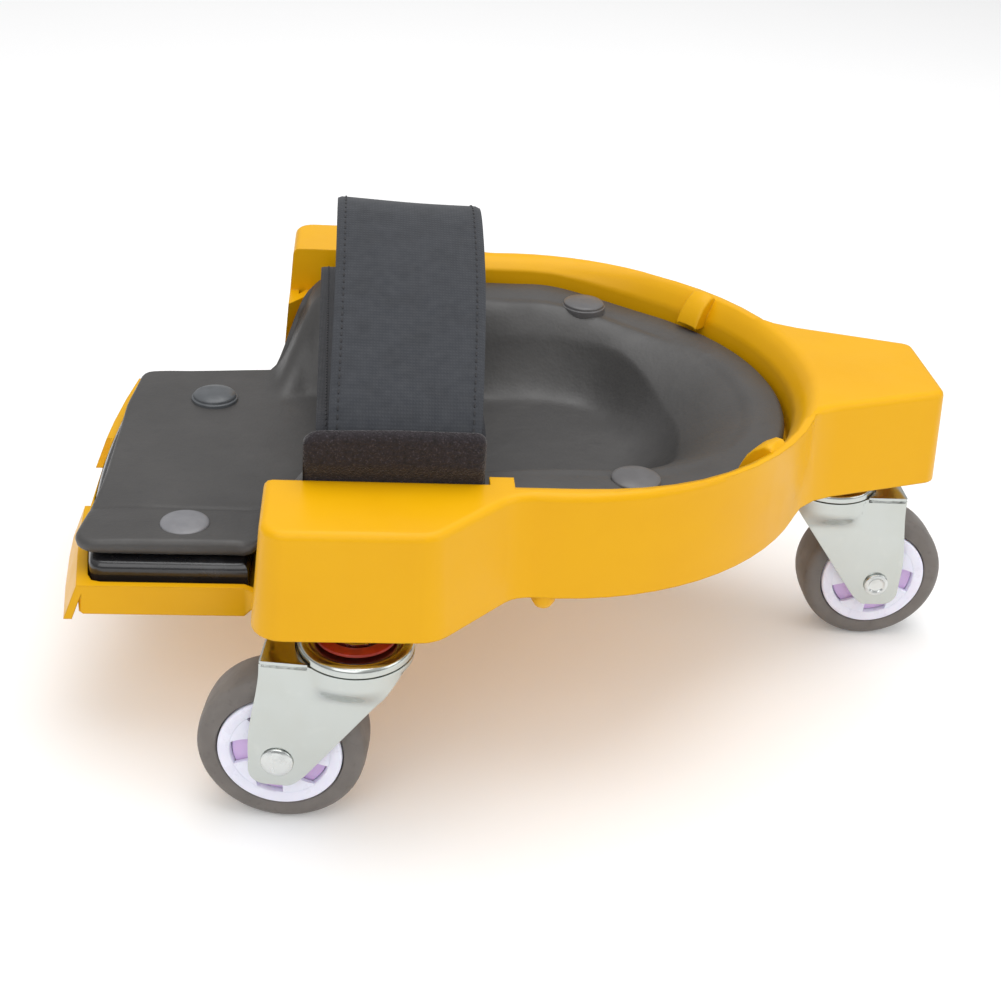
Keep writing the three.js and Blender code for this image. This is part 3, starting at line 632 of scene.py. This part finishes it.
def pad_buttons():
    """Round press buttons: (node, how far the dome rises, radius of the collar below, look)."""
    styles = (("right_tongue", 0.5, 2.8, BUTTON), ("left_tongue", 1.3, 8.2, BUTTON_DARK),
              ("right_cup", 0.8, 2.8, BUTTON_MID), ("left_cup", 0.4, 8.0, BUTTON_MID))
    for node, dome, collar, look in styles:
        low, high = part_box("pad_button_" + node)
        x, y, foot = 500 * (low.x + high.x), 500 * (low.y + high.y), 1000 * low.z
        rim = max(1000 * high.z - 1.6, float(pad_top(x, y)) + 1.1)
        head = fillet([(0, rim + dome, 0), (3.5, rim + 0.85 * dome, 5), (6.2, rim + 0.3 * dome, 2.5),
                       (7.5, rim - 0.3, 0.7), (7.5, rim - 1.2, 0.4), (collar, rim - 1.3, 0.3),
                       (collar, rim - 4, 0.4), (2.6, rim - 4.2, 0.3), (2.6, foot, 0.3), (0, foot, 0)])
        piece("round_button_" + node, shifted(lathe(head, 56), (x, y, 0)), look, slot="button_plastic",
              replaces=["pad_button_" + node])


# ------------------------------------------------------------------ straps
def ribbon(path, centre, width, thickness, waviness, twist):
    """A flat strap along a path of (y, z) points, with its UVs in metres and its running length.
    centre and width are functions of the share of the path's length."""
    line = resample(spline(path), 150)
    along = np.gradient(line, axis=0)
    along /= np.linalg.norm(along, axis=1)[:, None]
    lift = np.column_stack([-along[:, 1], along[:, 0]])
    share = np.linspace(0, 1, len(line))
    run = np.r_[0, np.cumsum(np.linalg.norm(np.diff(line, axis=0), axis=1))]
    u = np.linspace(-1, 1, STRAP_COLUMNS)
    half_t = thickness / 2 * (1 - 0.55 * np.clip((np.abs(u) - 0.93) / 0.07, 0, 1) ** 2)
    ring_u = np.r_[u, u[::-1]]
    ring_t = np.r_[half_t, -half_t[::-1]]
    x = centre(share)[:, None] + width(share)[:, None] / 2 * ring_u
    wave = waviness * np.sin(run[:, None] / 13 + 2.2 * ring_u) * np.sin(share * np.pi)[:, None]
    t = ring_t + wave
    y = line[:, :1] + lift[:, :1] * t
    lean = twist * np.sin(np.pi * share)[:, None] ** 2 * (x - x.mean())
    z = line[:, 1:] + lift[:, 1:] * t - lean
    verts = np.dstack([x, y, z])
    uv = np.dstack([(x - x.mean()) * MM, np.broadcast_to(run[:, None], x.shape) * MM])
    return verts, uv, run


def strap_piece(name, path, centre, width, thickness, look, node, waviness, twist):
    """A ribbon with closed ends as a named piece, with its points and its running lengths."""
    verts, uv, run = ribbon(path, centre, width, thickness, waviness, twist)
    rows, columns = verts.shape[:2]
    faces = grid_faces(rows, columns, wrap_columns=True).tolist()
    faces += [list(range(columns)), list(range((rows - 1) * columns, rows * columns))]
    obj = piece(name, (verts.reshape(-1, 3), faces), look, slot="strap_webbing", sharp=60, replaces=[node])
    places = uv.reshape(-1, 2)
    layer = obj.data.uv_layers.new(name="along")
    for loop in obj.data.loops:
        layer.data[loop.index].uv = places[loop.vertex_index]
    return obj, verts, run


def stitch_row(verts, run, column):
    """Short thread dashes along one line of a strap's outer face."""
    line = verts[:, column]
    beyond = verts[:, verts.shape[1] - 1 - column]
    up = line - beyond
    up /= np.linalg.norm(up, axis=1)[:, None]
    line = line + up * STITCH_R * 0.25
    end = STITCH_LENGTH / 2
    profile = [(0, -end), (STITCH_R * 0.8, -end + 0.2), (STITCH_R, 0), (STITCH_R * 0.8, end - 0.2), (0, end)]
    dashes = []
    for at in np.arange(0, run[-1], STITCH_PITCH):
        point = np.array([np.interp(at, run, line[:, k]) for k in range(3)])
        ahead = np.array([np.interp(at + 1, run, line[:, k]) for k in range(3)])
        direction = Vector(ahead - point).normalized()
        turn = np.array(direction.to_track_quat("Z", "Y").to_matrix())
        v, f = lathe(profile, 6)
        dashes.append((v @ turn.T + point, f))
    return dashes


BAND_PATH = [(-85.4, STRAP_FOOT), (-85.4, 100), (-84.6, 112), (-76, 121.5), (-55, 132.5), (-30, 143.6),
             (-12, 150.2), (-3, 152.4), (6, 152), (18, 147.4), (40, 136), (62, 123.6), (78, 112), (86, 102),
             (87.8, 92), (87.8, STRAP_FOOT)]
INNER_PATH = [(-83.4, STRAP_FOOT), (-83.4, 99), (-82.6, 110), (-77, 115.6), (-60, 115), (-20, 110.5),
              (20, 106.5), (60, 103.5), (78, 101.5), (84.6, 96), (85.9, 88), (85.9, STRAP_FOOT)]


def band_centre(share):
    """X of the outer band's middle line."""
    return -46.4 + 2.4 * smoothstep(share, 0, 0.45) + 0.25 * np.sin(7 * share)


def band_width(share):
    """Width of the outer band, which is widest over the top of its arch."""
    return 42.2 + 2.9 * smoothstep(share, 0, 0.45) - 1.6 * smoothstep(share, 0.6, 1)


def straps():
    """The outer band and the inner strap, each with two sewn lines and tucked into the side slots."""
    rows = (
        ("band", BAND_PATH, band_centre, band_width, 2.0, BAND, 0.25, 0.035),
        ("inner", INNER_PATH, lambda s: -46.0 - 3.9 * s, lambda s: 47.6 + 0.8 * s, 1.2, INNER, 0.12, 0.0),
    )
    for name, path, centre, width, thickness, look, waviness, twist in rows:
        strap, verts, run = strap_piece(name + "_strap", path, centre, width, thickness, look,
                                        "strap_" + name, waviness, twist)
        dashes = stitch_row(verts, run, 2) + stitch_row(verts, run, STRAP_COLUMNS - 3)
        stitches = piece(name + "_stitches", joined(*dashes), THREAD, slot="strap_webbing")
        flat = (float(width(0.5)) * MM, run[-1] * MM)


def fuzzy_tab():
    """Hook-and-loop tab that stands up outside the channel: a dense pile, fullest along its top."""
    half, top = TAB_HALF, TAB_TOP
    edge = fillet([(-half, STRAP_FOOT, 0), (-half, top - 0.8, 5), (0, top, 30), (half, top - 0.2, 3),
                   (half, STRAP_FOOT, 0)])
    columns, rows = 120, 90
    x = np.linspace(-half, half, columns)
    ceiling = np.interp(x, edge[:, 0] + np.arange(len(edge)) * 1e-6, edge[:, 1])
    z = STRAP_FOOT + (ceiling - STRAP_FOOT) * np.linspace(0, 1, rows)[:, None]
    x = np.broadcast_to(x, z.shape)
    pile = np.array([[noise.noise(Vector((a / 0.9, b / 0.9, 3))) for a, b in zip(*row)] for row in zip(x, z)])
    full = smoothstep(z, 105, 111)
    roll = lerp(1.4, 2.6, full)
    rim = np.clip(np.minimum(half - np.abs(x), ceiling - z) / roll, 0, 1)
    puff = lerp(1.2, 2.1, full) * np.sqrt(rim * (2 - rim) + 0.03)
    centre = -87.95 - 0.95 * full
    front = np.dstack([x + TAB_X, centre - puff - 0.3 * pile, z])
    back = np.dstack([x + TAB_X, centre + puff * 0.9, z])
    tab = piece("fuzzy_tab", slab(front, back), FUZZ, slot="strap_fuzz", sharp=80,
                replaces=["strap_fuzzy_tab"])


# ------------------------------------------------------------------ casters
def on_axle(shape):
    """A shape turned about Z laid on the wheel's axle."""
    return shifted(turned_about(shape, 90, "X"), (-TRAIL, 0, WHEEL_R))


def mirrored_profile(profile):
    """Closes a profile of (radius, height, fillet) rows with its own mirror image."""
    return profile + [(r, -h, f) for r, h, f in reversed(profile)]


def tyre_shape():
    """A ring with rounded shoulders and a nearly flat tread."""
    side = [(18.7, 8.0, 0.2), (19.0, 8.45, 0.4), (21.2, 8.6, 1), (22.9, 8.45, 2.5), (24.6, 7.0, 2.6),
            (25.0, 3.5, 9)]
    return on_axle(lathe(fillet(mirrored_profile(side), closed=True, step=12), 96, closed=True))


def hub_shape():
    """White hub: a broad outer ring, a nave and five pinwheel spokes on each side of the core."""
    ring_side = [(14.4, 7.35, 0.3), (14.6, 8.7, 0.5), (18.35, 9.1, 0.8)]
    rim = lathe(fillet(mirrored_profile(ring_side), closed=True), 96, closed=True)
    nave_side = [(4.2, 9.2, 0.4), (7.9, 9.0, 0.6), (8.3, 7.35, 0.3)]
    nave = lathe(fillet(mirrored_profile(nave_side), closed=True), 72, closed=True)
    plan = []
    for share in np.linspace(0, 1, 7):
        radius = lerp(8.0, 14.8, share)
        angles = np.radians(np.linspace(0, 20 + 21 * share, 9))
        plan.append(np.column_stack([radius * np.cos(angles), radius * np.sin(angles)]))
    plan = np.array(plan)

    def level(z):
        return np.dstack([plan, np.full(plan.shape[:2], z)])

    sides = [slab(level(8.6), level(7.35)), slab(level(-7.35), level(-8.6))]
    spokes = [turned_about(side, 58 + 72 * k) for k in range(5) for side in sides]
    return on_axle(joined(rim, nave, *spokes))


def core_shape():
    """The lavender disc that shows between the spokes."""
    side = [(8.4, 7.1, 0.3), (14.2, 7.1, 0.3)]
    return on_axle(lathe(fillet(mirrored_profile(side), closed=True), 72, closed=True))


def fork_leg(side):
    """One leg of the fork: a flat plate that swells into the round shoulder at its top."""
    corner, low = 5.0, 16.4
    z = np.r_[low + corner * (1 - np.cos(np.radians(np.linspace(0, 90, 9)))), np.linspace(24, 46, 8),
              np.linspace(47.5, 60, 20)]
    inset = corner - np.sqrt(np.clip(corner**2 - np.clip(low + corner - z, 0, None) ** 2, 0, None))
    swell = smoothstep(z, 47.5, 56.0)[:, None]
    share = np.linspace(0, 1, 40)
    faces = []
    for shoulder, plane in ((SHOULDER_R, LEG_OUTER), (SHOULDER_R - SHEET, LEG_OUTER - SHEET)):
        rear = lerp(-29, -25.5, smoothstep(z, 30, FORK_TOP)) + inset
        front = np.minimum(lerp(-15.4, 15.9, (z - low) / 43.6), shoulder - 0.1) - inset * 0.5
        u = rear[:, None] + (front - rear)[:, None] * share
        bulge = np.sqrt(np.clip(shoulder**2 - u**2, 0, None))
        v = np.where(u < 0, np.maximum(plane, bulge), bulge)
        ceiling = lerp(FORK_TOP - 1, SEAM_Z, smoothstep(u, -15.5, -12))
        height = low + (z[:, None] - low) * (ceiling - low) / (FORK_TOP - low)
        faces.append(np.dstack([u, side * lerp(np.full_like(u, plane), v, swell), height]))
    return slab(*faces)


def fork_shape():
    """Two legs, a flat deck behind the swivel and a bowl under the top race."""
    clear = 17.3
    reach = math.asin(LEG_OUTER / clear)
    arc = [(-clear * math.cos(a), clear * math.sin(a), 0) for a in np.linspace(-reach, reach, 13)]
    deck_edge = fillet([(-25.5, -LEG_OUTER, 0.6), *arc, (-25.5, LEG_OUTER, 0.6)], closed=True)
    count = len(deck_edge)
    levels = [np.column_stack([deck_edge, np.full(count, h)]) for h in (58.0, FORK_TOP)]
    deck = (np.vstack(levels), [*grid_faces(2, count, wrap_columns=True).tolist(), list(range(count)),
                                list(range(count, 2 * count))])
    section = [(6.4, 56, 0.3), (15.4, 56, 2.0), (SHOULDER_R, 57.6, 1.2), (SHOULDER_R, SEAM_Z, 0.3),
               (15.1, SEAM_Z, 0.3), (15.1, 58.2, 0.3), (6.4, 58.0, 0.3)]
    bowl = lathe(fillet(section, closed=True), 72, closed=True)
    return joined(fork_leg(1), fork_leg(-1), deck, bowl)


def top_race_shape():
    """The bearing's upper dish: a round bright rim that all but touches the fork's shoulder."""
    dish = [(6.2, 61.5, 0.2), (13.2, 61.5, 0.4), (15.0, 60.6, 0.3), (15.0, SEAM_Z + 0.15, 0.1),
            (16.75, SEAM_Z + 0.15, 0.4), (16.6, 61.9, 1.6), (14.6, 62.9, 1.2), (13.2, 62.2, 0.6),
            (6.2, 62.4, 0.2)]
    return lathe(fillet(dish, closed=True, step=12), 96, closed=True)


def rivet_shape():
    """Axle rivet with a domed head on one side and a rolled end on the other."""
    face = LEG_OUTER + 0.1
    head = [(0, face + 1.15, 0), (3.6, face + 1.05, 2), (4.7, face + 0.6, 0.5), (4.9, face, 0.2),
            (2.9, face, 0.1), (2.9, -face, 0.1), (4.3, -face, 0.2), (4.3, -face - 1.0, 0.5),
            (3.1, -face - 1.25, 0.3), (2.4, -face - 0.75, 0.5), (0, -face - 0.7, 0)]
    return on_axle(lathe(fillet(head, step=10), 56))


def caster(name, x, y, yaw):
    """All the pieces of one caster. They ride on its wheel, its swivel or the frame."""
    def part(node, shape, look, body, slot, **options):
        shape = shifted(turned_about(shape, yaw), (x, y, 0))
        piece(f"fine_{name}_{node}", shape, look, body, slot, replaces=[f"{name}_{node}"], **options)

    wheel, swivel = name + "_wheel", name + "_swivel"
    part("tyre", tyre_shape(), TYRE, wheel, "tyre_grey")
    part("hub", hub_shape(), WHITE, wheel, "hub_white")
    part("hub_core", core_shape(), LAVENDER, wheel, "core_lavender")
    part("fork", fork_shape(), ZINC, swivel, "zinc_steel", sharp=50, bevel=0.5)
    part("axle_rivet", rivet_shape(), STEEL, swivel, "bright_steel")
    part("top_race", top_race_shape(), ZINC, "frame", "zinc_steel")
    ring = [(8.4, 63.1, 0.2), (12.0, 63.1, 0.4), (11.7, 64.1, 0.5), (8.4, 64.3, 0.2)]
    part("dust_ring", lathe(fillet(ring, closed=True), 64, closed=True), RED, "frame", "ring_red")
    for node, look, slot in (("stem", STEEL, "bright_steel"), ("threaded_insert", BRASS, "insert_brass"),
                             ("ball_cage", STEEL, "bright_steel"), ("axle_sleeve", STEEL, "bright_steel")):
        refined(f"{name}_{node}", look, slot)


# ------------------------------------------------------------------ scene
def floor():
    """A plain pale plane."""
    bpy.ops.mesh.primitive_plane_add(size=12)
    plane = bpy.context.object
    plane.name = "floor"
    plane.data.materials.append(floor_pale())


def lamp(name, place, size, power):
    """A square area light that faces the object."""
    data = bpy.data.lights.new(name, "AREA")
    data.size, data.energy = size, power
    obj = bpy.data.objects.new(name, data)
    bpy.context.scene.collection.objects.link(obj)
    obj.location = place
    obj.rotation_euler = (Vector(LAMP_TARGET) - Vector(place)).to_track_quat("-Z", "Y").to_euler()


def camera():
    """Looks down about 30 degrees from the right, a little behind the middle, with a slight roll."""
    pitch, yaw, roll = 0.5157, 0.1062, 0.0748
    data = bpy.data.cameras.new("camera")
    data.sensor_width, data.lens = 36.0, 56.07
    data.clip_start, data.clip_end = 0.01, 20
    obj = bpy.data.objects.new("camera", data)
    bpy.context.scene.collection.objects.link(obj)
    turn = Matrix.Rotation(-yaw, 4, "Z") @ Matrix.Rotation(math.pi / 2 - pitch, 4, "X")
    turn = turn @ Matrix.Rotation(roll, 4, "Z")
    obj.matrix_world = Matrix.Translation(CAMERA_PLACE) @ turn
    bpy.context.scene.camera = obj


def studio():
    """A pale room that darkens towards the horizon, with a broad key light from the camera's side."""
    world = bpy.data.worlds.new("studio")
    world.use_nodes = True
    tree = world.node_tree
    up = tree.nodes.new("ShaderNodeSeparateXYZ")
    tree.links.new(tree.nodes.new("ShaderNodeTexCoord").outputs["Generated"], up.inputs["Vector"])
    fade = tree.nodes.new("ShaderNodeMapRange")
    tree.links.new(up.outputs["Z"], fade.inputs["Value"])
    for key, value in {"From Min": 0.0, "From Max": 0.75, "To Min": 0.28, "To Max": 0.74}.items():
        fade.inputs[key].default_value = value
    background = tree.nodes["Background"]
    background.inputs["Color"].default_value = (1, 1, 1, 1)
    tree.links.new(fade.outputs["Result"], background.inputs["Strength"])
    bpy.context.scene.world = world
    bpy.context.scene.view_settings.view_transform = "Standard"
    lamp("key", (-0.35, -0.95, 0.85), 0.9, 3.6)
    lamp("top", (0.1, 0.1, 1.3), 1.2, 9.5)
    lamp("side", (1.1, -0.45, 0.6), 0.7, 2.4)


refined("shell", YELLOW, "shell_plastic", 46)
knee_pad()
shin_underlay()
pad_buttons()
straps()
fuzzy_tab()
for caster_name, (caster_x, caster_y, caster_yaw) in CASTERS.items():
    caster(caster_name, caster_x, caster_y, caster_yaw)
floor()
camera()
studio()
